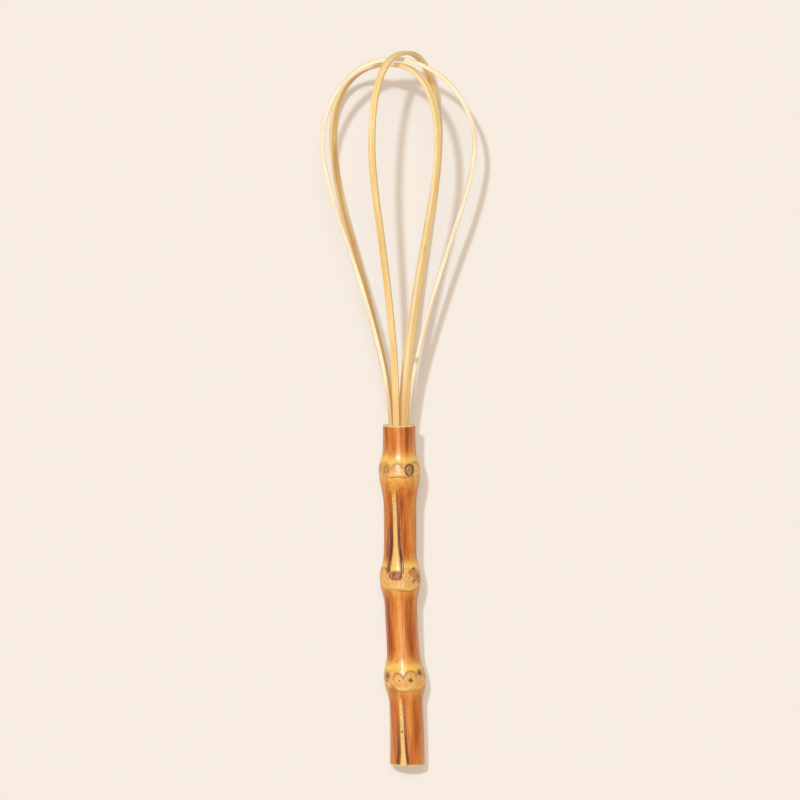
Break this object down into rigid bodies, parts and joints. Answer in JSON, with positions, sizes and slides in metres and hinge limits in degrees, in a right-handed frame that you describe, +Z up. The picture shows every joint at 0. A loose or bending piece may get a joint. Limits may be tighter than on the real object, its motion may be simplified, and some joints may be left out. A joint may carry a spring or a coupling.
{
  "type": "bamboo tea whisk",
  "caption": "Hand whisk for tea: bent bamboo strip loops crossing at the crown, their ends wedged in the drilled end of a bamboo-root handle with swollen nodes.",
  "frame": {"origin": "on the table the whisk lies on, under the middle of its bounding box", "axes": "+Z up from the table; +Y from the butt of the handle towards the head; +X to the right when seen from above with the head away from the viewer"},
  "size_m": [0.0656, 0.3004, 0.0599],
  "materials": {
    "rhizome": "heat-browned bamboo rhizome with a clear gloss",
    "strip": "satin split bamboo, skin side out",
    "pegwood": "plain cut bamboo"
  },
  "bodies": {
    "root": {"handle": "rhizome", "inner_loop": "strip", "middle_loop": "strip", "outer_loop": "strip", "wedge_peg": "pegwood"}
  },
  "joints": []
}
